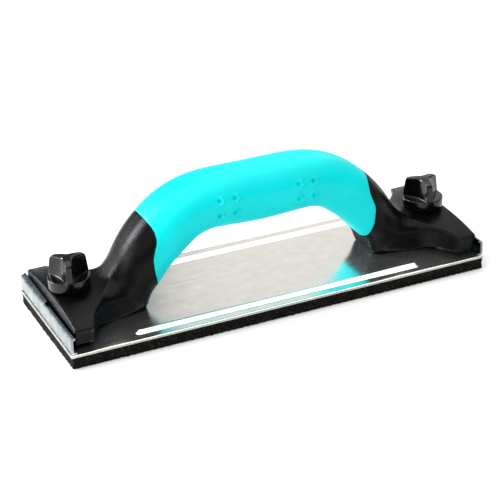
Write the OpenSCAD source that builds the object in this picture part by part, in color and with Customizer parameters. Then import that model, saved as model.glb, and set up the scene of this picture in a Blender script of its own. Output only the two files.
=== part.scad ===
// Hand sander for plaster and drywall: a sprung clamp at each end of a steel plate
// holds the abrasive sheet, and a bow handle with a soft grip is screwed on top.
// Origin: middle of the pad's underside. X runs along the length, Z points up.

/* [Plate and pad] */
// Length of the steel plate and of the pad
plate_l = 235; // [234:0.5:237]
// Width of the steel plate and of the pad
plate_w = 80; // [78:1:90]
// Thickness of the steel plate
plate_t = 1.5; // [1.2:0.1:2]
// Thickness of the foam rubber pad
pad_t = 6.3; // [5:0.1:10]
// Length of each pressed stiffening rib
rib_l = 164; // [120:1:170]
// Width of each rib
rib_w = 6.6; // [5:0.1:8]
// Height of each rib above the plate
rib_h = 1.5; // [1:0.1:1.6]
// Distance from the middle of the plate to the middle of a rib
rib_y = 32.4; // [28:0.1:33]

/* [Handle] */
// Width of the grip
grip_w = 36; // [34:0.5:40]
// Thickness of the soft grip over the core
grip_t = 2.2; // [1.5:0.1:3]
// Width of the feet at their ends
foot_w = 76; // [70:0.5:77]
// Drop of the foot's crowned top from its middle to its corners
crown = 4.3; // [0:0.1:5]
// Lean of the feet's side walls, from the crown's edge down to the underside
draft = 2.7; // [0:0.1:3]
// Radius of the bore that a knob's hub passes through
hub_bore_r = 5.3; // [5.2:0.05:5.5]

/* [Clamps] */
// Distance from the middle of the plate to each clamp bolt
bolt_x = 103; // [102:0.5:104]
// Sheet thickness of a clamp plate
clamp_t = 1.2; // [1:0.1:1.4]
// Height of a clamp plate's upright flange
flange_h = 8.3; // [7:0.1:9]
// Width of the flange's inturned lip
lip_w = 2.9; // [2:0.1:3]
// Width of the tongue under the foot
tongue_w = 56; // [46:1:57]
// Height of the spring cup inside
cup_h = 4.2; // [4:0.1:4.4]
// Radius of the spring cup outside
cup_r = 7; // [6.8:0.1:7.2]

/* [Knobs] */
// Radius of the knob's round skirt
knob_r = 10.9; // [9:0.1:11.5]
// Height of the skirt
skirt_h = 6; // [4:0.1:8]
// Height of the lobed part above the skirt
lobe_h = 11; // [8:0.1:12]
// Radius of the three hollows between the lobes
hollow_r = 20; // [18:0.5:24]
// Least distance from the axis to a hollow
hollow_gap = 5.2; // [4.6:0.1:6]
// Gap between the skirt and the foot when the clamp is shut
knob_gap = 0.5; // [0.3:0.1:1]
// Angle of the left knob's first lobe
left_knob_turn = 13; // [0:1:119]
// Angle of the right knob's first lobe
right_knob_turn = 22; // [0:1:119]

/* [Hardware] */
// Radius of the washer under a knob's hub
washer_r = 6; // [5.8:0.1:6.5]
// Thickness of the washer
washer_t = 1.2; // [1:0.1:1.6]
// Radius of a handle screw
screw_r = 2.1; // [2:0.1:2.5]
// Distance from the middle of the plate to each inner screw
inner_screw_x = 73; // [72:0.5:74]
// Distance from the middle of the plate to each outer screw
outer_screw_x = 85; // [84:0.5:86]

/* [Hidden] */
$fn = 64;

eps = 0.01;
over = 1;
fit = 0.05;
z_plate = pad_t;
z_top = pad_t + plate_t;
foot_gap = 2.5;
foot_z = z_top + foot_gap;
foot_top = z_top + 16.5;
foot_end = plate_l / 2 - 3.5;
wall = 2.2;
least_r = 0.5;
rib_wall = 1.2;
slot_clear = 0.6;
slot_h = 4.4;
cup_clear = 0.8;
cup_room_h = 12.4;
hollow_h = 9.4;
bolt_r = 3;
bolt_square = 6;
head_r = 6.5;
head_t = 2;
head_dome_r = 13;
head_dome_z = 9.6;
bolt_tip = 0.6;
screw_head_r = 4.5;
screw_head_t = 1.8;
screw_tip = 2;
screw_tip_r = 0.4;
hex_r = 1.6;
hex_depth = 1.2;
screw_top = z_top + 13;
screw_x = [inner_screw_x, outer_screw_x];
pocket_clear = 0.4;
spring_wire = 0.8;
spring_r = 4.6;
cup_top = z_top + clamp_t + cup_h;
hub_z = cup_top + washer_t;
hub_r = 5;
insert_r = 4;
skirt_z = foot_top + knob_gap;
lobe_z = skirt_z + skirt_h;
knob_top = lobe_z + lobe_h;
dome_r = 34;
taper_low = 1.4;
taper_high = 1.2;
taper_h = 14;
insert_h = 17;
bolt_top = hub_z + 18;

// Stations of the handle from its middle to the end of a foot. Each one is a section:
// top x, top z, bottom x, bottom z, half width, top radius, bottom radius.
grip_half = grip_w / 2;
foot_half = foot_w / 2;
STATIONS = [
    [0, 71, 0, 42.4, grip_half, 15, 12.5],
    [11.9, 71.1, 9.6, 42.7, grip_half, 15, 12.5],
    [23.8, 70.8, 19.2, 43.3, grip_half, 14.6, 12.4],
    [34.2, 69.5, 27.8, 43.6, grip_half, 14, 12],
    [44.4, 66.7, 35, 41.8, grip_half, 14.2, 11.8],
    [54.2, 62.1, 40.9, 37.7, grip_half, 15, 12],
    [62.7, 55.9, 47, 32.8, grip_half, 15.6, 11.5],
    [69.6, 48.9, 52.8, 27.7, grip_half - 0.2, 15.4, 11],
    [75.6, 41.1, 57.9, 21.5, grip_half - 0.6, 15.2, 10],
    [80.1, 33.7, 62.7, 16, grip_half - 1.2, 14.2, 9],
    [83.7, 28.7, 66, z_top, grip_half - 1.7, 12, 8],
    [86, 26.6, 70, z_top, grip_half - 1.4, 9.4, 5],
    [88, 25.5, 76, z_top, grip_half - 0.8, 7, 3],
    [90, 24.9, 82, z_top, grip_half, 5.5, 1.5],
    [92, 24.6, 88, z_top + 0.3, grip_half + 1.5, 4, 1],
    [94.5, 24.4, 93, foot_z - 0.9, grip_half + 4.2, 3, 1],
    [98, foot_top, 97.5, foot_z, grip_half + 8.3, 2.5, 1],
    [101, foot_top, 100.8, foot_z, grip_half + 13, 2.2, 1],
    [103.2, foot_top, 103.1, foot_z, grip_half + 18, 2, 1],
    [104.6, foot_top, 104.6, foot_z, foot_half, 2, 1],
    [109, foot_top, 109, foot_z, foot_half, 2, 1],
    [foot_end - 1, foot_top, foot_end - 1, foot_z, foot_half, 2, 1],
    [foot_end, foot_top - 0.6, foot_end, foot_z, foot_half - 1, 2, 1],
];
LAST = len(STATIONS) - 1;
// Station where the grip ends, for each height from the underside (-1) to the top (1)
GRIP_END = [[-1, 8.3], [-0.8, 8.25], [-0.48, 8], [-0.17, 7.75], [0.08, 7.4],
            [0.22, 7.2], [0.32, 6.9], [0.44, 6.5], [0.55, 6.3], [0.75, 6.12], [1, 6.05]];
corner_steps = 5;
top_steps = 6;
side_steps = 2;
grip_rings = 15;
leg_s = 9;

// Catmull-Rom curve through the stations; the far half is the near one mirrored
function station(i) = i < 0 ? let (p = STATIONS[-i])
    [-p[0], p[1], -p[2], p[3], p[4], p[5], p[6]] : STATIONS[min(i, LAST)];
function at(s) = let (a = abs(s), i = min(floor(a), LAST - 1), t = a - i,
                      p0 = station(i - 1), p1 = station(i),
                      p2 = station(i + 1), p3 = station(i + 2))
    (p1 * 2 + (p2 - p0) * t + (p0 * 2 - p1 * 5 + p2 * 4 - p3) * t * t
     + (p1 * 3 - p0 - p2 * 3 + p3) * t * t * t) / 2;
function seated(p) = [p[0], p[1], p[2], max(p[3], z_top), p[4], p[5], p[6]];

// Rounded section, counter-clockwise from the right of the underside: [across, up]
function arc(cx, cy, r, from) =
    [for (k = [0 : corner_steps]) let (a = from + 90 * k / corner_steps)
        [cx + r * cos(a), cy + r * sin(a)]];
function between(p, q, n) = [for (k = [1 : n - 1]) p + (q - p) * k / n];
function section(w, h, rt, rb) =
    concat(arc(w - rb, rb - h, rb, -90),
           between([w, rb - h], [w, h - rt], side_steps),
           arc(w - rt, h - rt, rt, 0),
           between([w - rt, h], [rt - w, h], top_steps),
           arc(rt - w, h - rt, rt, 90),
           between([-w, h - rt], [-w, rb - h], side_steps),
           arc(rb - w, rb - h, rb, 180),
           between([rb - w, -h], [w - rb, -h], side_steps));
ROUND = len(section(10, 10, 1, 1));

// Height of section point k at station s, from -1 at the underside to 1 at the top
function height_of(k) =
    let (p = STATIONS[0], h = (p[1] - p[3]) / 2) section(p[4], h, p[5], p[6])[k][1] / h;
function grip_end(k) = lookup(height_of(k), GRIP_END);

// How far v has gone from low to high, from 0 to 1
function share(v, low, high) = min(max((v - low) / (high - low), 0), 1);

// Point k of the handle's skin at station s, set in by d
function skin(s, k, d) =
    let (p = seated(at(s)), v = [p[0] - p[2], p[1] - p[3]], h = norm(v) / 2, u = v / (2 * h),
         w = p[4] - d,
         q = section(w, h - d, max(p[5] - d, least_r), max(p[6] - d, least_r))[k],
         drop = crown * pow(q[0] / foot_half, 2) * max(q[1] / h, 0) * share(abs(s), 9, 14),
         edge = h - p[5], lean = draft * share(edge - q[1], 0, edge + h) * share(abs(s), 8.5, 11),
         a = q[1] - drop, cx = (p[0] + p[2]) / 2, cz = (p[1] + p[3]) / 2)
    [sign(s) * (cx + u[0] * a), q[0] * (1 - lean / w), cz + u[1] * a];
function ring(spread, d, side) =
    [for (k = [0 : ROUND - 1]) skin(side * spread[k], k, d)];

// Rings from one foot's end to the other; the core is set in under the grip
FOOT_S = [for (s = [LAST : -0.5 : leg_s]) s];
function grip_spread(t) = [for (k = [0 : ROUND - 1]) grip_end(k) * t];
function leg_spread(t) = [for (k = [0 : ROUND - 1]) grip_end(k) * (1 - t) + leg_s * t];
function flat_spread(s) = [for (k = [0 : ROUND - 1]) s];
function half_rings(side) = concat(
    [for (s = FOOT_S) ring(flat_spread(s), 0, side)],
    [for (t = [0.66, 0.33, 0]) ring(leg_spread(t), 0, side)]);
function inner_rings(d) =
    [for (j = [-grip_rings : grip_rings]) ring(grip_spread(max(abs(j) / grip_rings, 0.0001)),
        d, j < 0 ? -1 : 1)];
function reversed(v) = [for (i = [len(v) - 1 : -1 : 0]) v[i]];

// Closed skin through rings that have the same number of points
function quads(rings, n) = [for (i = [0 : rings - 2], k = [0 : n - 1])
    [i * n + k, i * n + (k + 1) % n, (i + 1) * n + (k + 1) % n, (i + 1) * n + k]];
function triangles(faces) = [for (q = faces) each [[q[0], q[2], q[1]], [q[0], q[3], q[2]]]];
// The same quads split the other way, so that the grip's inside meets the core's facets
function crossed(faces) = [for (q = faces) each [[q[0], q[3], q[1]], [q[1], q[3], q[2]]]];

module stacked(rings) {
    n = ROUND;
    last = (len(rings) - 1) * n;
    polyhedron([for (r = rings) each r],
               concat(triangles(quads(len(rings), n)),
                      [[for (k = [0 : n - 1]) (k + n - 1) % n]],
                      [[for (k = [n - 1 : -1 : 0]) last + k]]));
}

module tube(outer, inner) {
    n = ROUND;
    m = len(outer);
    loop = concat(outer, reversed(inner), [outer[0]]);
    polyhedron([for (i = [0 : 2 * m - 1]) each loop[i]],
               [for (t = crossed(quads(2 * m + 1, n))) [for (v = t) v % (2 * m * n)]]);
}

module both_ends() {
    children();
    mirror([1, 0, 0]) children();
}

module stadium(l, w) {
    for (s = [-1, 1]) translate([s * (l - w) / 2, 0]) circle(d = w);
    square([l - w, w], center = true);
}

module base_plate() {
    color("lightgray") difference() {
        union() {
            translate([-plate_l / 2, -plate_w / 2, z_plate]) cube([plate_l, plate_w, plate_t]);
            for (s = [-1, 1]) translate([0, s * rib_y, z_top - eps])
                linear_extrude(rib_h + eps) stadium(rib_l, rib_w);
        }
        for (s = [-1, 1]) translate([0, s * rib_y, z_plate - eps])
            linear_extrude(rib_h) stadium(rib_l - 2 * rib_wall, rib_w - 2 * rib_wall);
        both_ends() {
            translate([bolt_x, 0, z_plate])
                cube([bolt_square + 2 * fit, bolt_square + 2 * fit, 4 * plate_t], center = true);
            for (x = screw_x) translate([x, 0, z_plate - over])
                cylinder(r = screw_r + fit, h = plate_t + 2 * over);
        }
    }
}

module rubber_pad() {
    color("dimgray") difference() {
        translate([-plate_l / 2, -plate_w / 2, 0]) cube([plate_l, plate_w, pad_t]);
        both_ends() {
            translate([bolt_x, 0, pad_t - head_t - pocket_clear])
                cylinder(r = head_r + pocket_clear, h = head_t + pocket_clear + over);
            for (x = screw_x) translate([x, 0, pad_t - screw_head_t - pocket_clear])
                cylinder(r = screw_head_r + pocket_clear, h = screw_head_t + pocket_clear + over);
        }
    }
}

module foot_hollow() {
    y = foot_w / 2 - draft - wall;
    translate([0, 0, z_top - over]) linear_extrude(hollow_h + over)
        polygon([[95, -16], [99.5, -21.5], [103, -29.5], [104.6, -y], [foot_end - wall, -y],
                 [foot_end - wall, y], [104.6, y], [103, 29.5], [99.5, 21.5], [95, 16]]);
    translate([bolt_x, 0, z_top]) cylinder(r = cup_r + cup_clear, h = cup_room_h);
    translate([foot_end - 2 * wall, -tongue_w / 2 - slot_clear, z_top - over])
        cube([4 * wall, tongue_w + 2 * slot_clear, slot_h + over]);
    translate([bolt_x, 0, z_top]) cylinder(r = hub_bore_r, h = 2 * (foot_top - z_top));
}

module handle_core() {
    rings = concat(half_rings(-1), inner_rings(grip_t), reversed(half_rings(1)));
    color([0.13, 0.13, 0.14]) difference() {
        stacked(rings);
        both_ends() {
            foot_hollow();
            for (x = screw_x) translate([x, 0, z_top - over])
                cylinder(r = screw_r + fit, h = screw_top - z_top + 2 * over);
        }
    }
}

module soft_grip() {
    color([0.05, 0.86, 0.88]) tube(inner_rings(0), inner_rings(grip_t));
}

module clamp_plate() {
    x1 = plate_l / 2 - 0.3;
    x0 = foot_end + 0.4;
    top = z_top + flange_h;
    rise = 1.3;
    half = plate_w / 2 - 0.5;
    color("silver") difference() {
        union() {
            translate([0, half, 0]) rotate([90, 0, 0]) linear_extrude(2 * half) polygon([
                [x0, z_top], [x1 - 0.8, z_top], [x1 - 0.3, z_top + 0.5], [x1, top - 0.8],
                [x1 - 0.6, top], [x1 - lip_w, top + rise], [x1 - lip_w - 0.1, top + rise - 1],
                [x1 - clamp_t, top - 1.3], [x1 - 1.5, z_top + clamp_t], [x0, z_top + clamp_t]]);
            translate([0, 0, z_top]) linear_extrude(clamp_t)
                polygon([[95.6, -12], [103, -22], [108, -tongue_w / 2], [x0 + eps, -tongue_w / 2],
                         [x0 + eps, tongue_w / 2], [108, tongue_w / 2], [103, 22], [95.6, 12]]);
            translate([bolt_x, 0, z_top]) cylinder(r = cup_r, h = cup_h + clamp_t);
        }
        translate([bolt_x, 0, z_top - over]) cylinder(r = cup_r - clamp_t, h = cup_h + over);
        translate([bolt_x, 0, z_top]) cylinder(r = bolt_r + fit, h = 2 * cup_h + 2 * clamp_t);
    }
}

module clamp_bolt() {
    color("gainsboro") translate([bolt_x, 0, 0]) {
        intersection() {
            translate([0, 0, z_plate - head_t]) cylinder(r = head_r, h = head_t);
            translate([0, 0, z_plate + head_dome_z]) sphere(r = head_dome_r);
        }
        translate([-bolt_square / 2, -bolt_square / 2, z_plate - eps])
            cube([bolt_square, bolt_square, plate_t - 2 * fit + eps]);
        translate([0, 0, z_plate]) cylinder(r = bolt_r, h = bolt_top - z_plate - bolt_tip);
        translate([0, 0, bolt_top - bolt_tip])
            cylinder(r1 = bolt_r, r2 = bolt_r - bolt_tip, h = bolt_tip);
    }
}

module lift_spring() {
    turns = 3.5;
    steps = 14;
    sides = 8;
    rise = cup_h - spring_wire - 2 * fit;
    n = turns * steps;
    rings = [for (i = [0 : n]) let (a = 360 * i / steps)
        [for (k = [0 : sides - 1]) let (b = 360 * k / sides,
            r = spring_r + spring_wire / 2 * cos(b))
            [r * cos(a), r * sin(a), rise * i / n + spring_wire / 2 * sin(b)]]];
    last = n * sides;
    color("darkgray") translate([bolt_x, 0, z_top + spring_wire / 2 + fit])
        polyhedron([for (r = rings) each r],
                   concat([for (t = triangles(quads(n + 1, sides))) [t[0], t[2], t[1]]],
                          [[for (k = [sides - 1 : -1 : 0]) k]],
                          [[for (k = [0 : sides - 1]) last + k]]));
}

module washer() {
    color("whitesmoke") translate([bolt_x, 0, cup_top]) difference() {
        cylinder(r = washer_r, h = washer_t);
        translate([0, 0, -over]) cylinder(r = bolt_r + 0.2, h = washer_t + 2 * over);
    }
}

module knob(turn) {
    color([0.08, 0.08, 0.085]) translate([bolt_x, 0, 0]) rotate([0, 0, turn]) difference() {
        union() {
            translate([0, 0, hub_z]) cylinder(r = hub_r, h = skirt_z - hub_z + eps);
            translate([0, 0, skirt_z]) cylinder(r = knob_r, h = skirt_h);
            difference() {
                intersection() {
                    translate([0, 0, lobe_z - eps]) cylinder(r = knob_r, h = lobe_h + eps);
                    translate([0, 0, lobe_z - 2])
                        cylinder(r1 = knob_r + taper_low, r2 = knob_r - taper_high, h = taper_h);
                    translate([0, 0, knob_top - dome_r]) sphere(r = dome_r);
                }
                for (k = [0 : 2]) rotate([0, 0, 60 + 120 * k])
                    translate([hollow_r + hollow_gap, 0, lobe_z])
                        cylinder(r = hollow_r, h = 2 * lobe_h);
            }
        }
        translate([0, 0, hub_z - over]) cylinder(r = insert_r, h = insert_h + over);
        translate([0, 0, hub_z + insert_h - eps]) cylinder(r = bolt_r + 0.3, h = 4);
    }
}

module knob_insert() {
    color("goldenrod") translate([bolt_x, 0, hub_z]) difference() {
        cylinder(r = insert_r, h = insert_h);
        translate([0, 0, -over]) cylinder(r = bolt_r + fit, h = insert_h + 2 * over);
    }
}

module handle_screws() {
    color("gainsboro") for (x = screw_x) translate([x, 0, 0]) {
        difference() {
            translate([0, 0, z_plate - screw_head_t]) cylinder(r = screw_head_r, h = screw_head_t);
            translate([0, 0, z_plate - screw_head_t - eps]) cylinder(r = hex_r, h = hex_depth, $fn = 6);
        }
        translate([0, 0, z_plate - eps]) cylinder(r = screw_r, h = screw_top - z_plate - screw_tip);
        translate([0, 0, screw_top - screw_tip - 2 * eps])
            cylinder(r1 = screw_r, r2 = screw_tip_r, h = screw_tip);
    }
}

module left() { mirror([1, 0, 0]) children(); }

module left_clamp_plate() { left() clamp_plate(); }
module right_clamp_plate() { clamp_plate(); }
module left_clamp_bolt() { left() clamp_bolt(); }
module right_clamp_bolt() { clamp_bolt(); }
module left_lift_spring() { translate([-2 * bolt_x, 0, 0]) lift_spring(); }
module right_lift_spring() { lift_spring(); }
module left_washer() { left() washer(); }
module right_washer() { washer(); }
module left_knob() { translate([-2 * bolt_x, 0, 0]) knob(left_knob_turn); }
module right_knob() { knob(right_knob_turn); }
module left_knob_insert() { left() knob_insert(); }
module right_knob_insert() { knob_insert(); }
module left_handle_screws() { left() handle_screws(); }
module right_handle_screws() { handle_screws(); }

base_plate();
rubber_pad();
handle_core();
soft_grip();
left_clamp_plate();
right_clamp_plate();
left_clamp_bolt();
right_clamp_bolt();
left_lift_spring();
right_lift_spring();
left_washer();
right_washer();
left_knob();
right_knob();
left_knob_insert();
right_knob_insert();
left_handle_screws();
right_handle_screws();
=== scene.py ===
import math

import bmesh
import bpy
import numpy as np
from mathutils import Matrix, Vector, noise


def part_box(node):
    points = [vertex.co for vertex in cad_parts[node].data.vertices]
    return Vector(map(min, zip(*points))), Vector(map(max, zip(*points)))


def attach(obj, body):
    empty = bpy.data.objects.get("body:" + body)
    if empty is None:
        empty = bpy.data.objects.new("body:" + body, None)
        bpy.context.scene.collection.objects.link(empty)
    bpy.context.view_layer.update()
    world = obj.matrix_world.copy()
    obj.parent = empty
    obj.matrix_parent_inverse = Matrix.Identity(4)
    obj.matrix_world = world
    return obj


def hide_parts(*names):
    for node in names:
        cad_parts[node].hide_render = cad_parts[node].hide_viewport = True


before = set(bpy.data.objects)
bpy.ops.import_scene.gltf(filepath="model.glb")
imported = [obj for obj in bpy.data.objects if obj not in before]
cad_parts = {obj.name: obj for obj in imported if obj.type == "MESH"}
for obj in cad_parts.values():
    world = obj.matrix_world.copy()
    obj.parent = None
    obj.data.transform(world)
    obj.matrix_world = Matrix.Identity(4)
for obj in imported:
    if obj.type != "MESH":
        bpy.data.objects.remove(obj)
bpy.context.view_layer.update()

# Sizes are in metres, unless a comment says millimetres. Those that the frame holds are read from it.
MM = 0.001
plate_low, plate_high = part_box("base_plate")
core_low, core_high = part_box("handle_core")
clamp_low, clamp_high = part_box("right_clamp_plate")
knob_low, knob_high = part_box("right_knob")
pad_low, pad_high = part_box("rubber_pad")

PLATE_L = plate_high[0] - plate_low[0]
PLATE_W = plate_high[1] - plate_low[1]
PLATE_T = 1.5 * MM
Z_PLATE = pad_high[2]
Z_TOP = Z_PLATE + PLATE_T
RIB_H = plate_high[2] - Z_TOP
RIB_W = 6.6 * MM
RIB_L = 164 * MM
RIB_Y = 32.4 * MM

# A foot of the handle, and the room inside it for the clamp
FOOT_END = core_high[0]
FOOT_TOP = Z_TOP + 16.5 * MM
FOOT_Z = Z_TOP + 2.5 * MM
FOOT_WALL = 2.2 * MM
HUB_BORE_R = 5.3 * MM
HOLLOW_H = 9.4 * MM
CUP_ROOM_R = 7.8 * MM
CUP_ROOM_H = 12.4 * MM
SLOT_HALF = 28.6 * MM
SLOT_H = 4.4 * MM
CROWN = 4.3 * MM

# A knob: the hub, the skirt and the lobes, whose hollows are arcs of HOLLOW_R
BOLT_X = (knob_low[0] + knob_high[0]) / 2
KNOB_R = (knob_high[0] - knob_low[0]) / 2
KNOB_TOP = knob_high[2]
HUB_Z = knob_low[2]
SKIRT_Z = FOOT_TOP + 0.5 * MM
LOBE_Z = SKIRT_Z + 6 * MM
HUB_R = 5 * MM
HOLLOW_R = 20 * MM
HOLLOW_GAP = 5.2 * MM
DOME_R = 34 * MM

# The sheet clamp and the soft grip
CLAMP_T = 1.2 * MM
CUP_R = 7 * MM
BOLT_HOLE_R = 3.05 * MM
WASHER_T = 1.2 * MM
GRIP_T = 2.2 * MM


# ---------------------------------------------------------------- camera, light, floor

def make_camera():
    """A long lens, from the front, a little to the left and 26 degrees above the floor."""
    azimuth, elevation, roll = map(math.radians, (-24.45, 26.02, -1.69))
    ahead = Vector((-math.sin(azimuth) * math.cos(elevation),
                    math.cos(azimuth) * math.cos(elevation), -math.sin(elevation)))
    right = ahead.cross(Vector((0, 0, 1))).normalized()
    up = right.cross(ahead)
    right_rolled = math.cos(roll) * right + math.sin(roll) * up
    up_rolled = -math.sin(roll) * right + math.cos(roll) * up
    data = bpy.data.cameras.new("camera")
    data.sensor_width = 36
    data.lens = 116.1
    data.shift_x = -0.0056
    data.shift_y = -0.0006
    data.clip_start = 0.05
    camera = bpy.data.objects.new("camera", data)
    turn = Matrix((right_rolled, up_rolled, -ahead)).transposed()
    camera.matrix_world = Matrix.Translation((-0.31856, -0.69867, 0.39613)) @ turn.to_4x4()
    bpy.context.scene.collection.objects.link(camera)
    bpy.context.scene.camera = camera


def card(name, place, target, size, radiance, colour):
    """A lit panel that faces target. Its brightness, radiance, doesn't depend on its size."""
    data = bpy.data.lights.new(name, "AREA")
    data.shape = "RECTANGLE"
    data.size, data.size_y = size
    data.energy = radiance * math.pi * size[0] * size[1]
    data.color = colour
    light = bpy.data.objects.new(name, data)
    light.location = place
    light.rotation_euler = (Vector(target) - Vector(place)).to_track_quat("-Z", "Y").to_euler()
    bpy.context.scene.collection.objects.link(light)


def make_light():
    """Studio light: one card overhead, a warm one that the plate mirrors, two on the left, a fill."""
    world = bpy.data.worlds.new("studio")
    bpy.context.scene.world = world
    world.use_nodes = True
    world.node_tree.nodes["Background"].inputs[0].default_value = (0.78, 0.94, 1, 1)
    world.node_tree.nodes["Background"].inputs[1].default_value = 0.26
    middle = (0, 0, 0.03)
    card("overhead", (-0.1, 0.1, 1.2), (-0.1, 0.1, 0), (2.0, 2.0), 2.1, (1, 0.975, 0.92))
    card("back_card", (1.55, 1.37, 0.85), (0, 0, 0.2), (2.2, 1.3), 0.76, (1, 0.87, 0.76))
    card("left_card", (-1.5, 0.25, 0.34), middle, (1.2, 0.5), 8, (1, 0.94, 0.86))
    card("left_key", (-1.05, 0.85, 0.66), middle, (0.52, 0.52), 36, (0.93, 0.95, 1))
    card("front_fill", (-0.95, -1.05, 1.0), middle, (1.0, 1.0), 1.6, (0.9, 0.96, 1))
    bpy.context.scene.view_settings.view_transform = "Standard"


def make_floor():
    reach = 4
    corners = [(-reach, -reach, 0), (reach, -reach, 0), (reach, reach, 0), (-reach, reach, 0)]
    mesh = bpy.data.meshes.new("floor")
    mesh.from_pydata(corners, [], [(0, 1, 2, 3)])
    floor = bpy.data.objects.new("floor", mesh)
    bpy.context.scene.collection.objects.link(floor)
    mat, _, _, shader = new_material("pale_floor")
    shader.inputs["Base Color"].default_value = (0.9, 0.9, 0.9, 1)
    shader.inputs["Roughness"].default_value = 0.9
    shader.inputs["Specular IOR Level"].default_value = 0.1
    mesh.materials.append(mat)


# ---------------------------------------------------------------- materials

def new_material(name):
    """A material with its node tree's nodes, links and main shader."""
    mat = bpy.data.materials.new(name)
    mat.use_nodes = True
    nodes, links = mat.node_tree.nodes, mat.node_tree.links
    return mat, nodes, links, nodes["Principled BSDF"]


def object_point(nodes, links, stretch=(1, 1, 1)):
    """The surface point in millimetres, stretched along the axes."""
    where = nodes.new("ShaderNodeTexCoord")
    scale = nodes.new("ShaderNodeMapping")
    scale.inputs["Scale"].default_value = [1000 * s for s in stretch]
    links.new(where.outputs["Object"], scale.inputs["Vector"])
    return scale.outputs["Vector"]


def noise_node(nodes, links, point, scale, detail=3, roughness=0.5):
    node = nodes.new("ShaderNodeTexNoise")
    node.inputs["Scale"].default_value = scale
    node.inputs["Detail"].default_value = detail
    node.inputs["Roughness"].default_value = roughness
    links.new(point, node.inputs["Vector"])
    return node.outputs["Fac"]


def voronoi_node(nodes, links, point, scale):
    node = nodes.new("ShaderNodeTexVoronoi")
    node.inputs["Scale"].default_value = scale
    links.new(point, node.inputs["Vector"])
    return node.outputs["Distance"]


def span(nodes, links, fac, low, high):
    """Maps a noise texture onto low to high. Most of a noise lies between 0.3 and 0.7."""
    node = nodes.new("ShaderNodeMapRange")
    node.inputs["From Min"].default_value = 0.3
    node.inputs["From Max"].default_value = 0.7
    node.inputs["To Min"].default_value = low
    node.inputs["To Max"].default_value = high
    links.new(fac, node.inputs["Value"])
    return node.outputs["Result"]


def ramp(nodes, links, fac, stops):
    """Colours a texture by stops, each a place from 0 to 1 and a colour."""
    node = nodes.new("ShaderNodeValToRGB")
    band = node.color_ramp
    while len(band.elements) < len(stops):
        band.elements.new(0.5)
    for element, (place, colour) in zip(band.elements, stops):
        element.position = place
        element.color = (*colour, 1)
    links.new(fac, node.inputs["Fac"])
    return node.outputs["Color"]


def bump(nodes, links, shader, height, depth, after=None):
    """Adds a bump of the given depth in metres, on top of an earlier one."""
    node = nodes.new("ShaderNodeBump")
    node.inputs["Distance"].default_value = depth
    links.new(height, node.inputs["Height"])
    if after is not None:
        links.new(after, node.inputs["Normal"])
    links.new(node.outputs["Normal"], shader.inputs["Normal"])
    return node.outputs["Normal"]


def grip_material():
    """Turquoise soft-touch rubber with a fine matt grain."""
    mat, nodes, links, shader = new_material("turquoise_soft_touch")
    point = object_point(nodes, links)
    tone = noise_node(nodes, links, point, 0.06, 4)
    deep, pale = (0.001, 0.64, 0.665), (0.001, 0.7, 0.72)
    links.new(ramp(nodes, links, tone, [(0.35, deep), (0.65, pale)]), shader.inputs["Base Color"])
    rubbed = noise_node(nodes, links, point, 0.9, 3)
    links.new(span(nodes, links, rubbed, 0.36, 0.48), shader.inputs["Roughness"])
    shader.inputs["Specular IOR Level"].default_value = 0.14
    bump(nodes, links, shader, noise_node(nodes, links, point, 4.5, 2, 0.6), 0.018 * MM)
    return mat


def black_material():
    """Satin black moulded plastic with a spark-eroded grain."""
    mat, nodes, links, shader = new_material("grained_black_plastic")
    point = object_point(nodes, links)
    tone = noise_node(nodes, links, point, 0.12, 5)
    dark, light = (0.001, 0.001, 0.0012), (0.003, 0.003, 0.0034)
    links.new(ramp(nodes, links, tone, [(0.3, dark), (0.7, light)]), shader.inputs["Base Color"])
    rubbed = noise_node(nodes, links, point, 1.0, 5, 0.8)
    links.new(span(nodes, links, rubbed, 0.15, 0.36), shader.inputs["Roughness"])
    shader.inputs["Specular IOR Level"].default_value = 0.1
    coarse = bump(nodes, links, shader, noise_node(nodes, links, point, 1.2, 4, 0.7), 0.09 * MM)
    bump(nodes, links, shader, voronoi_node(nodes, links, point, 2.6), 0.03 * MM, coarse)
    return mat


def knob_material():
    """Glossy black plastic with faint flow marks."""
    mat, nodes, links, shader = new_material("gloss_black_plastic")
    point = object_point(nodes, links)
    flow = noise_node(nodes, links, point, 0.3, 3)
    dark, light = (0.001, 0.001, 0.0012), (0.002, 0.002, 0.0023)
    links.new(ramp(nodes, links, flow, [(0.3, dark), (0.7, light)]), shader.inputs["Base Color"])
    rubbed = noise_node(nodes, links, point, 0.8, 3)
    links.new(span(nodes, links, rubbed, 0.1, 0.2), shader.inputs["Roughness"])
    shader.inputs["Specular IOR Level"].default_value = 0.36
    bump(nodes, links, shader, noise_node(nodes, links, point, 0.5, 2), 0.05 * MM)
    return mat


def zinc_material(name, dark, light, rough_low, rough_high, waves, metallic):
    """Bright zinc plating: streaks along the sheet, faint mottling, and waves, a depth in metres."""
    mat, nodes, links, shader = new_material(name)
    shader.inputs["Metallic"].default_value = metallic
    mottle = noise_node(nodes, links, object_point(nodes, links), 0.16, 5, 0.55)
    streaks = noise_node(nodes, links, object_point(nodes, links, (0.03, 1, 1)), 1.1, 4, 0.6)
    links.new(ramp(nodes, links, mottle, [(0.3, dark), (0.7, light)]), shader.inputs["Base Color"])
    links.new(span(nodes, links, streaks, rough_low, rough_high), shader.inputs["Roughness"])
    dents = noise_node(nodes, links, object_point(nodes, links), 0.035, 2)
    wavy = bump(nodes, links, shader, dents, waves)
    bump(nodes, links, shader, streaks, 0.004 * MM, wavy)
    return mat


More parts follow.
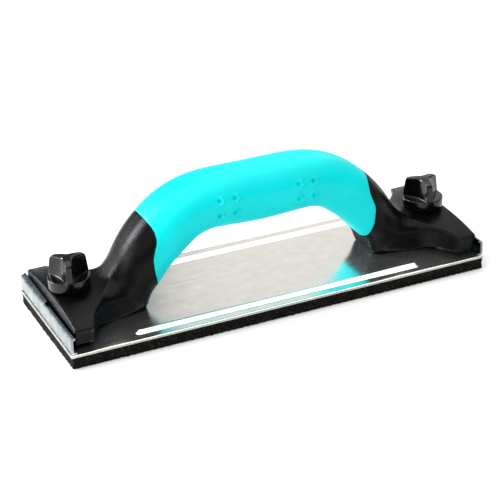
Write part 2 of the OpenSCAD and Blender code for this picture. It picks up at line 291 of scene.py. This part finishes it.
def foam_material():
    """Black cellular rubber: open pores, darker specks of painted pore shade, and paler dust on the cut
    cells.
    """
    mat, nodes, links, shader = new_material("black_cellular_rubber")
    point = object_point(nodes, links)
    cells = voronoi_node(nodes, links, point, 1.0)
    specks = noise_node(nodes, links, point, 1.3, 5, 0.75)
    # the darkest stop, hollow, is painted shade for the pores, laid on random specks
    hollow, rubber, dust = (0.002, 0.002, 0.002), (0.006, 0.0055, 0.005), (0.1, 0.09, 0.07)
    links.new(ramp(nodes, links, specks, [(0.4, hollow), (0.56, rubber), (0.7, dust)]),
              shader.inputs["Base Color"])
    shader.inputs["Roughness"].default_value = 0.92
    shader.inputs["Specular IOR Level"].default_value = 0.12
    pores = bump(nodes, links, shader, cells, 0.5 * MM)
    bump(nodes, links, shader, specks, 0.35 * MM, pores)
    return mat


def metal_material(name, dark, light, roughness, grain):
    """Bare or plated metal for small hardware and cut edges. A higher grain makes a finer bump."""
    mat, nodes, links, shader = new_material(name)
    shader.inputs["Metallic"].default_value = 1
    point = object_point(nodes, links)
    tone = noise_node(nodes, links, point, 0.8, 4)
    links.new(ramp(nodes, links, tone, [(0.3, dark), (0.7, light)]), shader.inputs["Base Color"])
    rubbed = noise_node(nodes, links, point, 2, 3)
    links.new(span(nodes, links, rubbed, roughness - 0.06, roughness + 0.08),
              shader.inputs["Roughness"])
    bump(nodes, links, shader, noise_node(nodes, links, point, grain, 3), 0.01 * MM)
    return mat


# ---------------------------------------------------------------- mesh helpers

def mesh_object(name, points, faces, material, sharp_degrees=35):
    """An object from points in metres, outward faces, smooth apart from edges over sharp_degrees."""
    mesh = bpy.data.meshes.new(name)
    mesh.from_pydata([tuple(p) for p in points], [], faces)
    mesh.validate()
    tidy = bmesh.new()
    tidy.from_mesh(mesh)
    bmesh.ops.remove_doubles(tidy, verts=tidy.verts, dist=1e-7)
    bmesh.ops.dissolve_degenerate(tidy, edges=tidy.edges, dist=1e-8)
    bmesh.ops.recalc_face_normals(tidy, faces=tidy.faces)
    tidy.to_mesh(mesh)
    tidy.free()
    mesh.materials.append(material)
    piece = bpy.data.objects.new(name, mesh)
    bpy.context.scene.collection.objects.link(piece)
    shade(piece, sharp_degrees)
    return piece


def shade(piece, sharp_degrees):
    """Smooth shading, with a hard edge wherever two faces meet at more than sharp_degrees."""
    mesh = piece.data
    mesh.polygons.foreach_set("use_smooth", [True] * len(mesh.polygons))
    edges = bmesh.new()
    edges.from_mesh(mesh)
    limit = math.radians(sharp_degrees)
    for edge in edges.edges:
        edge.smooth = len(edge.link_faces) == 2 and edge.calc_face_angle(0) < limit
    edges.to_mesh(mesh)
    edges.free()


def loft(rings, closed=False):
    """Points and faces of quads between rings of equal length, with both ends capped.

    A closed loft joins its last ring to its first instead.
    """
    n = len(rings[0])
    points = [p for ring in rings for p in ring]
    last = len(rings) if closed else len(rings) - 1
    faces = []
    for i in range(last):
        a, b = i * n, (i + 1) % len(rings) * n
        faces += [(a + k, a + (k + 1) % n, b + (k + 1) % n, b + k) for k in range(n)]
    if not closed:
        faces.append(tuple(range(n - 1, -1, -1)))
        faces.append(tuple((len(rings) - 1) * n + k for k in range(n)))
    return points, faces


def combine(piece, others, operation, sharp_degrees=35):
    """Joins the others to the piece (UNION) or takes them out of it (DIFFERENCE)."""
    for other in others:
        step = piece.modifiers.new("combine", "BOOLEAN")
        step.operation = operation
        step.solver = "EXACT"
        step.object = other
        made = piece.evaluated_get(bpy.context.evaluated_depsgraph_get())
        mesh = bpy.data.meshes.new_from_object(made)
        piece.modifiers.clear()
        piece.data = mesh
        bpy.data.objects.remove(other)
    shade(piece, sharp_degrees)


def prism(name, outline, low, high, material):
    """A plain prism of an outline in the floor plane."""
    rings = [[(x, y, z) for x, y in outline] for z in (low, high)]
    return mesh_object(name, *loft(rings), material)


def circle(x, radius, steps=64):
    """A circle's outline, with its centre at x on the X axis."""
    turns = [2 * math.pi * k / steps for k in range(steps)]
    return [(x + radius * math.cos(a), radius * math.sin(a)) for a in turns]


def smoothstep(value, low, high):
    """Rises smoothly from 0 at low to 1 at high."""
    t = np.clip((np.asarray(value, dtype=float) - low) / (high - low), 0, 1)
    return t * t * (3 - 2 * t)


# ---------------------------------------------------------------- handle

# Stations from the handle's middle to the end of a foot, in millimetres. Each is a section:
# top x, top z, bottom x, bottom z, half width, top radius, bottom radius.
HALF_GRIP, HALF_FOOT = 18, 38
TOP, LOW, DECK, END = FOOT_TOP / MM, FOOT_Z / MM, Z_TOP / MM, FOOT_END / MM
STATIONS = np.array([
    [0, 71, 0, 42.4, HALF_GRIP, 15, 12.5],
    [11.9, 71.1, 9.6, 42.7, HALF_GRIP, 15, 12.5],
    [23.8, 70.8, 19.2, 43.3, HALF_GRIP, 14.6, 12.4],
    [34.2, 69.5, 27.8, 43.6, HALF_GRIP, 14, 12],
    [44.4, 66.7, 35, 41.8, HALF_GRIP, 14.2, 11.8],
    [54.2, 62.1, 40.9, 37.7, HALF_GRIP, 15, 12],
    [62.7, 55.9, 47, 32.8, HALF_GRIP, 15.6, 11.5],
    [69.6, 48.9, 52.8, 27.7, HALF_GRIP - 0.2, 15.4, 11],
    [75.6, 41.1, 57.9, 21.5, HALF_GRIP - 0.6, 15.2, 10],
    [80.1, 33.7, 62.7, 16, HALF_GRIP - 1.2, 14.2, 9],
    [83.7, 28.7, 66, DECK, HALF_GRIP - 1.7, 12, 8],
    [86, 26.6, 70, DECK, HALF_GRIP - 1.4, 9.4, 5],
    [88, 25.5, 76, DECK, HALF_GRIP - 0.8, 7, 3],
    [90, 24.9, 82, DECK, HALF_GRIP, 5.5, 1.5],
    [92, 24.6, 88, DECK + 0.3, HALF_GRIP + 1.5, 4, 1],
    [94.5, 24.4, 93, LOW - 0.9, HALF_GRIP + 4.2, 3, 1],
    [98, TOP, 97.5, LOW, HALF_GRIP + 8.3, 2.5, 1],
    [101, TOP, 100.8, LOW, HALF_GRIP + 13, 2.2, 1],
    [103.2, TOP, 103.1, LOW, HALF_GRIP + 18, 2, 1],
    [104.6, TOP, 104.6, LOW, HALF_FOOT, 2, 1],
    [109, TOP, 109, LOW, HALF_FOOT, 2, 1],
    [END - 1, TOP, END - 1, LOW, HALF_FOOT, 2, 1],
    [END, TOP - 0.6, END, LOW, HALF_FOOT - 1, 2, 1],
])
LAST = len(STATIONS) - 1
# Station where the grip ends, for each height from the underside (-1) to the top (1)
GRIP_END = np.array([[-1, 8.3], [-0.8, 8.25], [-0.48, 8], [-0.17, 7.75], [0.08, 7.4], [0.22, 7.2],
                     [0.32, 6.9], [0.44, 6.5], [0.55, 6.3], [0.75, 6.12], [1, 6.05]])
# Lean of the feet's side walls, in millimetres over their height
DRAFT = 2.7
# Angle of the crease along the grip's sides, in radians
CREASE = 0.32
# Least corner radius of a section that is set in, in millimetres
LEAST_R = 0.5


def catmull(p0, p1, p2, p3, t):
    """A point from p1 (t = 0) to p2 (t = 1) on the smooth curve through all four."""
    return (p1 * 2 + (p2 - p0) * t + (p0 * 2 - p1 * 5 + p2 * 4 - p3) * t * t
            + (p1 * 3 - p0 - p2 * 3 + p3) * t ** 3) / 2


def station(i):
    """The listed section i. Those before the middle are the mirror image of those after it."""
    if i < 0:
        return STATIONS[-i] * (-1, 1, -1, 1, 1, 1, 1)
    return STATIONS[min(i, LAST)]


def at(s):
    """The section at station s, which may lie between two of the listed ones."""
    i = min(int(s), LAST - 1)
    found = catmull(station(i - 1), station(i), station(i + 1), station(i + 2), s - i)
    low_z = 3
    found[low_z] = max(found[low_z], DECK)
    return found


def grip_end(height):
    """Station of the grip's edge at a height from -1 to 1, on a smooth curve through GRIP_END."""
    last = len(GRIP_END) - 1
    i = int(np.clip(np.searchsorted(GRIP_END[:, 0], height) - 1, 0, last - 1))
    before, low, high, after = [GRIP_END[min(max(j, 0), last)] for j in range(i - 1, i + 3)]
    width = high[0] - low[0]
    t = (height - low[0]) / width
    slope_low = (high[1] - before[1]) / (high[0] - before[0]) * width
    slope_high = (after[1] - low[1]) / (after[0] - low[0]) * width
    return ((2 * t ** 3 - 3 * t ** 2 + 1) * low[1] + (t ** 3 - 2 * t ** 2 + t) * slope_low
            + (-2 * t ** 3 + 3 * t ** 2) * high[1] + (t ** 3 - t ** 2) * slope_high)


def section(w, h, top_r, low_r, crease, steps):
    """Right half of a rounded section, from the middle of its underside to the middle of its top.

    It is w wide and h high each way from its centre. The top arc starts with a slight break, crease
    radians, where it leaves the side. steps counts the pieces of each stretch, from the underside up.
    """
    low_n, low_arc_n, side_n, top_arc_n, top_n = steps
    a = np.linspace(-math.pi / 2, 0, low_arc_n + 1)
    low_arc = np.stack([w - low_r + low_r * np.cos(a), low_r - h + low_r * np.sin(a)], 1)
    b = np.linspace(crease, math.pi / 2, top_arc_n + 1)
    high_arc = np.stack([w + top_r * (np.cos(b) - math.cos(crease)), h - top_r + top_r * np.sin(b)], 1)

    def line(p, q, n):
        return p + (q - p) * np.linspace(0, 1, n + 1)[1:-1, None]

    return np.concatenate([
        np.array([[0, -h]]), line(np.array([0, -h]), low_arc[0], low_n), low_arc,
        line(low_arc[-1], high_arc[0], side_n), high_arc,
        line(high_arc[-1], np.array([0, h]), top_n), np.array([[0, h]])])


def whole_section(s, steps, inset=0):
    """The ring at station s as across and up, its middle, its up direction and its half height.

    The grip's sides have a crease. Towards a foot it fades, the side walls begin to lean in and the
    top becomes crowned, each over a few stations.
    """
    top_x, top_z, low_x, low_z, width, top_r, low_r = at(s)
    v = np.array([top_x - low_x, top_z - low_z])
    h = np.linalg.norm(v) / 2
    crease = CREASE * float(1 - smoothstep(s, 7.5, 10))
    half = section(width - inset, h - inset, max(top_r - inset, LEAST_R), max(low_r - inset, LEAST_R),
                   crease, steps)
    edge = h - top_r
    lean = DRAFT * float(smoothstep(s, 8.5, 11)) * np.clip((edge - half[:, 1]) / (edge + h), 0, 1)
    drop = CROWN / MM * (half[:, 0] / HALF_FOOT) ** 2 * np.clip(half[:, 1] / h, 0, 1)
    half[:, 0] *= 1 - lean / width
    half[:, 1] -= drop * float(np.clip((s - 9) / 5, 0, 1))
    ring = np.concatenate([half, (half * (-1, 1))[-2:0:-1]])
    middle = np.array([top_x + low_x, top_z + low_z]) / 2
    return ring, middle, v / (2 * h), h


def skin_ring(stations, side, steps, inset=0):
    """A ring whose point k lies at stations[k], on the side 1 or -1 of the handle's middle."""
    points = []
    known = {}
    for k, s in enumerate(stations):
        if s not in known:
            known[s] = whole_section(s, steps, inset)
        ring, middle, up, _ = known[s]
        across, rise = ring[k]
        points.append((side * (middle[0] + up[0] * rise), across, middle[1] + up[1] * rise))
    return np.array(points) * MM


def ring_heights(steps):
    """Height of each point of the middle ring, from -1 at the underside to 1 at the top."""
    ring, _, _, h = whole_section(0, steps)
    return ring[:, 1] / h


# Pieces of each stretch of a section: flat underside, low arc, side, top arc, flat top
FINE = (5, 46, 6, 74, 5)
PLAIN = (4, 12, 4, 16, 6)

# The dots on the grip's sides, in millimetres: where they are, and how wide and high each part is
DOT_X = (18.05, 26.65)
DOT_Z = (53.9, 61.9)
DOT_R = 1.85
DOT_SHIFT = 0.5
CREST_W, CREST_H = 0.46, 0.95
PIT_R, PIT_DEPTH = 1.4, 1.3


def dots(points):
    """How far each point of the grip's sides is raised: crescents round small pits, in metres."""
    x, y, z = points[:, 0] / MM, points[:, 1] / MM, points[:, 2] / MM
    raised = np.zeros(len(points))
    on_side = smoothstep(np.abs(y), 13, 15)
    for cx in DOT_X:
        for sign in (-1, 1):
            for cz in DOT_Z:
                dx, dz = x - sign * cx - DOT_SHIFT, z - cz
                away = np.hypot(dx, dz)
                # the crescent is highest on the right and at the bottom, and open on the left
                turned = (0.86 * dx - 0.5 * dz) / np.maximum(away, 0.01)
                crest = np.exp(-((away - DOT_R) / CREST_W) ** 2) * smoothstep(turned, -0.85, 0.3)
                pit = 1 - smoothstep(np.hypot(dx + 0.25, dz - 0.1), 0.3, PIT_R)
                raised += CREST_H * crest - PIT_DEPTH * pit
    return raised * on_side * MM


def grip_rings(inset, places):
    """Rings of the grip, set in by inset. Each place runs from -1 at its left end to 1."""
    ends = np.array([grip_end(h) for h in ring_heights(FINE)])
    return [skin_ring(ends * max(abs(t), 1e-4), -1 if t < 0 else 1, FINE, inset) for t in places]


def make_grip(material):
    """The soft grip: a tube with dotted sides and rounded ends."""
    # the rings are close together as far out as the dots reach
    past_dots = 0.47
    half = np.concatenate([np.linspace(0, past_dots, 112), np.linspace(past_dots, 1, 46)[1:]])
    places = np.concatenate([-half[::-1], half[1:]])
    stack = np.array(grip_rings(0, places))
    along = np.gradient(stack, axis=0)
    around = np.roll(stack, -1, axis=1) - np.roll(stack, 1, axis=1)
    normal = np.cross(around, along)
    normal /= np.maximum(np.linalg.norm(normal, axis=2, keepdims=True), 1e-12)
    middle = len(places) // 2
    if np.sum(normal[middle, :, 1] * stack[middle, :, 1]) < 0:
        normal = -normal
    raised = dots(stack.reshape(-1, 3)).reshape(stack.shape[:2])
    stack = stack + normal * raised[:, :, None]
    # the edge rolls over the last ring and goes down to the core
    edge = 0.28 * MM
    rolled = [stack[0] - normal[0] * edge, *stack[1:-1], stack[-1] - normal[-1] * edge]
    inner = grip_rings(GRIP_T / MM, np.linspace(1, -1, 31))
    points, faces = loft([*rolled, *inner], closed=True)
    grip = mesh_object("soft_grip_overmould", points, faces, material, 50)
    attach(grip, "sander")
    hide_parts("soft_grip")


def foot_cutters(side, material):
    """The hollow under a foot, the slot for the clamp's tongue and the bore for a knob's hub."""
    y = (HALF_FOOT - DRAFT) * MM - FOOT_WALL
    outline = [(a * MM, b * MM) for a, b in ((95, -16), (99.5, -21.5), (103, -29.5))]
    outline += [(104.6 * MM, -y), (FOOT_END - FOOT_WALL, -y)]
    outline += [(a, -b) for a, b in reversed(outline)]
    # the slot cuts the foot's end wall, and runs past both of its faces
    x0, x1 = FOOT_END - 4 * MM, FOOT_END + 2 * MM
    slot = [(x0, -SLOT_HALF), (x1, -SLOT_HALF), (x1, SLOT_HALF), (x0, SLOT_HALF)]
    cup = circle(side * BOLT_X, CUP_ROOM_R)
    bore = circle(side * BOLT_X, HUB_BORE_R)

    def turned(shape):
        return [(side * a, b) for a, b in shape]

    # each starts at a depth of its own under the foot, so that no two share a face
    return [prism("hollow", turned(outline), Z_TOP - MM, Z_TOP + HOLLOW_H, material),
            prism("cup", cup, Z_TOP - 0.5 * MM, Z_TOP + CUP_ROOM_H, material),
            prism("slot", turned(slot), Z_TOP - 1.5 * MM, Z_TOP + SLOT_H, material),
            prism("bore", bore, Z_TOP - 1.2 * MM, FOOT_TOP + 4 * MM, material)]


def make_core(material):
    """The black handle: two feet and legs, and a thinner middle under the grip."""
    ends = np.array([grip_end(h) for h in ring_heights(PLAIN)])
    # from a foot's end up to the leg each ring keeps to one station, and then they bend to the grip
    leg, ankle = 9, 18
    foot = np.concatenate([[LAST], np.arange(LAST - 0.15, ankle, -0.15), np.arange(ankle, leg, -0.2)])
    legs = np.full(len(ends), float(leg))

    def half(side):
        rings = [skin_ring(np.full(len(ends), s), side, PLAIN) for s in foot]
        rings += [skin_ring(ends * (1 - t) + legs * t, side, PLAIN) for t in np.linspace(1, 0, 12)]
        return rings

    middle = [skin_ring(ends * max(abs(t), 1e-4), -1 if t < 0 else 1, PLAIN, GRIP_T / MM)
              for t in np.linspace(-1, 1, 41)]
    points, faces = loft([*half(-1), *middle, *reversed(half(1))])
    core = mesh_object("handle_moulding", points, faces, material, 38)
    combine(core, foot_cutters(-1, material) + foot_cutters(1, material), "DIFFERENCE", 38)
    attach(core, "sander")
    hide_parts("handle_core")


# ---------------------------------------------------------------- knobs

def knob_outline(angles, soft):
    """Distance from the axis to the three-lobed outline. soft rounds the lobes' corners."""
    reach = np.full(len(angles), KNOB_R)
    centre = HOLLOW_R + HOLLOW_GAP
    for k in range(3):
        off = (angles - math.radians(60 + 120 * k) + math.pi) % (2 * math.pi) - math.pi
        inside = HOLLOW_R ** 2 - (centre * np.sin(off)) ** 2
        near = np.where((inside > 0) & (np.cos(off) > 0),
                        centre * np.cos(off) - np.sqrt(np.maximum(inside, 0)), 2 * KNOB_R)
        h = np.clip(0.5 + 0.5 * (near - reach) / soft, 0, 1)
        reach = near * (1 - h) + reach * h - soft * h * (1 - h)
    return reach


def make_knob(side_name, x, turn, material):
    """A round skirt with a three-lobed grip above it, and a hub that goes down into the foot."""
    n = 216
    angles = np.linspace(0, 2 * math.pi, n, endpoint=False)
    full = np.full(n, KNOB_R)
    rings = []

    def ring(reach, z):
        a = angles + math.radians(turn)
        reach, z = np.broadcast_to(reach, (n,)), np.broadcast_to(z, (n,))
        rings.append(np.stack([x + reach * np.cos(a), reach * np.sin(a), z], 1))

    def dome(reach):
        return KNOB_TOP - (DOME_R - np.sqrt(DOME_R ** 2 - reach ** 2))

    tiny = 0.02 * MM
    break_edge = 0.2 * MM
    for r, z in ((0.6 * HUB_R, HUB_Z), (HUB_R - break_edge, HUB_Z), (HUB_R, HUB_Z + break_edge),
                 (HUB_R, SKIRT_Z + tiny)):
        ring(r, z)
    under = 1.1 * MM
    for a in np.linspace(0, math.pi / 2, 7):
        ring(KNOB_R - under * (1 - math.sin(a)), SKIRT_Z + under * (1 - math.cos(a)))
    # the skirt's rim shows only between the lobes, round each hollow's floor
    lobes = knob_outline(angles, 1.9 * MM)
    between = smoothstep(KNOB_R - lobes, 0.3 * MM, 1.3 * MM)
    rim = 0.5 * MM
    for a in np.linspace(0, math.pi / 2, 6):
        ring(full - rim * (1 - math.cos(a)) * between, LOBE_Z - rim + rim * math.sin(a))
    fillet = 0.7 * MM
    for a in np.linspace(0, math.pi / 2, 6):
        foot = np.minimum(lobes + fillet * (1 - math.sin(a)), full - 1.02 * rim * between)
        ring(foot, LOBE_Z + fillet * (1 - math.cos(a)) + tiny)
    # the lobes lean in all round, and their hollowed flanks a little more
    edge = 1.7 * MM
    lean = 1.0 * MM
    thin = 0.6 * MM * between
    inner = lobes - lean - thin - edge
    crest = dome(inner)
    for t in np.linspace(0.12, 1, 14):
        reach = np.minimum(lobes - lean * t ** 1.4 - thin * min(2 * t, 1), KNOB_R)
        ring(reach, LOBE_Z + (crest - edge - LOBE_Z) * t)
    for a in np.linspace(0, math.pi / 2, 8)[1:]:
        ring(inner + edge * math.cos(a), crest - edge * (1 - math.sin(a)))
    for t in (0.75, 0.5, 0.25, 0.08):
        ring(inner * t, dome(inner * t))
    points, faces = loft(rings)
    knob = mesh_object(side_name + "_clamp_knob", points, faces, material, 40)
    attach(knob, side_name + "_knob")
    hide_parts(side_name + "_knob")


# ---------------------------------------------------------------- plate, pad and clamps

def spaced(edges, steps):
    """Grid lines: edges gives where the spacing changes, steps the spacing in each stretch."""
    lines = [edges[0]]
    for low, high, step in zip(edges, edges[1:], steps):
        lines += list(np.linspace(low, high, max(2, round((high - low) / step) + 1))[1:])
    return np.array(lines)


def rib_height(x, y):
    """Height of the plate's surface above its flat, with a rounded rib along each side."""
    run = RIB_L / 2 - RIB_W / 2
    past = np.maximum(np.abs(x) - run, 0)
    off = np.hypot(past, np.abs(y) - RIB_Y)
    return RIB_H * (1 + np.cos(math.pi * np.minimum(off / (RIB_W / 2), 1))) / 2


def make_plate(material, cut_edge):
    """The pressed steel plate, with its ribs raised from the sheet and its edges left as sheared."""
    end, run, side = PLATE_L / 2, RIB_L / 2, PLATE_W / 2
    # the grid is fine round the ribs and at the plate's rounded edges, and coarse elsewhere
    rounded, near_rib = 0.3 * MM, 4.2 * MM
    half_x = spaced([0, run - 5 * MM, run + MM, end - rounded, end],
                    [6 * MM, 0.25 * MM, 5 * MM, 0.15 * MM])
    half_y = spaced([0, RIB_Y - near_rib, RIB_Y + near_rib, side - rounded, side],
                    [4 * MM, 0.2 * MM, 1.2 * MM, 0.15 * MM])
    xs = np.concatenate([-half_x[:0:-1], half_x])
    ys = np.concatenate([-half_y[:0:-1], half_y])
    gx, gy = np.meshgrid(xs, ys, indexing="ij")
    lift = rib_height(gx, gy)
    from_edge = np.minimum(end - np.abs(gx), side - np.abs(gy))
    roll = 0.2 * MM * (1 - np.clip(from_edge / rounded, 0, 1)) ** 2
    top = np.stack([gx, gy, Z_TOP + lift - roll], 2).reshape(-1, 3)
    low = np.stack([gx, gy, Z_PLATE + lift + roll * 0.5], 2).reshape(-1, 3)
    nx, ny = len(xs), len(ys)
    count = nx * ny
    faces = []
    for i in range(nx - 1):
        for j in range(ny - 1):
            a, b, c, d = i * ny + j, (i + 1) * ny + j, (i + 1) * ny + j + 1, i * ny + j + 1
            faces += [(a, b, c, d), (count + d, count + c, count + b, count + a)]
    front = [i * ny for i in range(nx)]
    right = [(nx - 1) * ny + j for j in range(1, ny)]
    back = [i * ny + ny - 1 for i in range(nx - 2, -1, -1)]
    left = list(range(ny - 2, 0, -1))
    border = front + right + back + left
    faces += [(p, q, count + q, count + p) for p, q in zip(border, border[1:] + border[:1])]
    plate = mesh_object("pressed_plate", np.concatenate([top, low]), faces, material, 40)
    plate.data.materials.append(cut_edge)
    # the sheared sides are the faces whose normal is nearly level
    level = 0.2
    for face in plate.data.polygons:
        face.material_index = int(abs(face.normal.z) < level)
    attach(plate, "sander")
    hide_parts("base_plate")


def make_pad(material):
    """Cellular rubber pad: flat faces, and sides cut with a knife, so slightly hollow and ragged."""
    end, side, height = PLATE_L / 2, PLATE_W / 2, Z_PLATE
    step = 0.75 * MM
    path = []
    corners = [(-end, -side), (end, -side), (end, side), (-end, side)]
    for (x0, y0), (x1, y1) in zip(corners, corners[1:] + corners[:1]):
        count = round(math.hypot(x1 - x0, y1 - y0) / step)
        for k in range(count):
            path.append((x0 + (x1 - x0) * k / count, y0 + (y1 - y0) * k / count))
    rings = []

    def ring(inset, z, rough, lift):
        """A ring inset from the pad's outline, pitted by up to rough and raised by up to lift."""
        points = []
        for x, y in path:
            spot = Vector((x, y, z)) / MM
            wear = noise.noise(spot * 0.8) * 0.6 + noise.noise(spot * 2.1) * 0.4
            d = max(inset + rough * (0.5 + wear), 0)
            below = Vector((x, y, 0)) / MM
            ragged = noise.noise(below * 0.55) * 0.9 + noise.noise(below * 1.5) * 0.4
            rise = lift * max(0.5 + ragged, 0)
            points.append((max(min(x, end - d), d - end), max(min(y, side - d), d - side), z + rise))
        rings.append(points)

    # the knife tore the lower edge most, and less with each row above it
    torn = 0.75 * MM
    ring(4 * MM, 0, 0, 0)
    ring(1.2 * MM, 0, 0, 0)
    ring(0.1 * MM, 0, 0.4 * MM, torn)
    rows = 9
    for k in range(1, rows):
        hollow = 0.3 * math.sin(math.pi * k / rows)
        ring((0.05 + hollow) * MM, height * k / rows, 0.38 * MM, torn * (1 - k / rows) ** 2)
    ring(0.05 * MM, height - 0.06 * MM, 0.12 * MM, 0)
    ring(1.2 * MM, height, 0, 0)
    ring(4 * MM, height, 0, 0)
    points, faces = loft(rings)
    pad = mesh_object("cellular_rubber_pad", points, faces, material, 60)
    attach(pad, "sander")
    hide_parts("rubber_pad")


def clamp_profile(lip):
    """Section of the clamp's flange, out from the foot and up, as x and z in metres.

    lip is how far the folded rim reaches in from the flange's outer face.
    """
    x1, low = clamp_high[0], clamp_low[2]
    # half the sheet's thickness, and the radius of its middle at each of its two bends
    t, bend, curl = CLAMP_T / 2, 1.2 * MM, 0.9 * MM
    # the height at which the rim starts to fold in, and the rim's slope
    fold = clamp_high[2] - 2.2 * MM
    slope = math.pi / 6
    path = [(FOOT_END + 0.4 * MM, low + t, math.pi / 2)]
    for a in np.linspace(-math.pi / 2, 0, 6):
        path.append((x1 - t - bend + bend * math.cos(a), low + t + bend + bend * math.sin(a), a + math.pi))
    for a in np.linspace(0, math.pi / 3, 6):
        path.append((x1 - t - curl + curl * math.cos(a), fold + curl * math.sin(a), a + math.pi))
    x, z, a = path[-1]
    run = max((x - (x1 - lip + 0.3 * MM)) / math.cos(slope), 0.05 * MM)
    path.append((x - run * math.cos(slope), z + run * math.sin(slope), a))
    outer = [(x - t * math.cos(a), z - t * math.sin(a)) for x, z, a in path]
    inner = [(x + t * math.cos(a), z + t * math.sin(a)) for x, z, a in path]
    x, z, a = path[-1]
    rim = [(x - t * math.cos(a + b), z - t * math.sin(a + b)) for b in np.linspace(0, math.pi, 7)[1:-1]]
    return outer + rim + inner[::-1]


def make_clamp(side_name, side, material):
    """The sheet-steel clamp: an upright flange with a folded rim, a tongue and a spring cup."""
    half = (clamp_high[1] - clamp_low[1]) / 2
    # the folded rim has a small notch near its middle, and is wider behind it than in front
    wide, narrow, notch = 2.9 * MM, 2.1 * MM, 1.4 * MM
    marks = [(-half, narrow), (-1.4 * MM, narrow), (-0.9 * MM, notch), (3.1 * MM, notch),
             (3.6 * MM, wide), (half, wide)]
    places, lips = zip(*marks)
    rings = []
    for y in np.unique(np.concatenate([np.linspace(-half, half, 33), places])):
        profile = clamp_profile(np.interp(y, places, lips))
        rings.append([(side * x, y, z) for x, z in profile])
    tongue = [(95.6, -12), (103, -22), (108, -28), (115.2, -28)]
    tongue += [(a, -b) for a, b in reversed(tongue)]
    tongue = [(side * a * MM, b * MM) for a, b in tongue]
    # the cup holds the spring, and the washer lies between it and the knob's hub
    x, low, cup_top = side * BOLT_X, clamp_low[2], HUB_Z - WASHER_T
    clamp = mesh_object(side_name + "_sheet_clamp", *loft(rings), material, 40)
    combine(clamp, [prism("tongue", tongue, low, low + CLAMP_T, material),
                    prism("cup", circle(x, CUP_R), low, cup_top, material)], "UNION")
    inside = prism("inside", circle(x, CUP_R - CLAMP_T), low - MM, cup_top - CLAMP_T, material)
    hole = prism("hole", circle(x, BOLT_HOLE_R), low - MM, HUB_Z, material)
    combine(clamp, [inside, hole], "DIFFERENCE", 40)
    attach(clamp, side_name + "_clamp")
    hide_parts(side_name + "_clamp_plate")


def dress(node, material):
    """Gives a carried-over CAD node its material."""
    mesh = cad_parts[node].data
    for k in range(len(mesh.materials)):
        mesh.materials[k] = material
    if not mesh.materials:
        mesh.materials.append(material)


def main():
    make_camera()
    make_light()
    make_floor()
    grip = grip_material()
    black = black_material()
    gloss = knob_material()
    zinc = zinc_material("bright_zinc_plate", (0.75, 0.77, 0.77), (0.83, 0.84, 0.83),
                         0.12, 0.22, 0.12 * MM, 0.965)
    clamp_zinc = zinc_material("bright_zinc_clamp", (0.13, 0.165, 0.185), (0.33, 0.35, 0.355),
                               0.16, 0.3, 0.2 * MM, 1)
    sheared = metal_material("sheared_steel_edge", (0.36, 0.34, 0.3), (0.6, 0.57, 0.52), 0.4, 2)
    steel = metal_material("zinc_hardware", (0.5, 0.5, 0.48), (0.68, 0.67, 0.63), 0.32, 3)
    spring = metal_material("spring_wire", (0.35, 0.35, 0.35), (0.5, 0.5, 0.5), 0.28, 6)
    brass = metal_material("turned_brass", (0.55, 0.38, 0.14), (0.75, 0.56, 0.25), 0.25, 5)
    make_core(black)
    make_grip(grip)
    make_plate(zinc, sheared)
    make_pad(foam_material())
    for side_name, side, turn in (("left", -1, 13), ("right", 1, 22)):
        make_knob(side_name, side * BOLT_X, turn, gloss)
        make_clamp(side_name, side, clamp_zinc)
        for part in ("_clamp_bolt", "_washer", "_handle_screws"):
            dress(side_name + part, steel)
        dress(side_name + "_lift_spring", spring)
        dress(side_name + "_knob_insert", brass)


main()
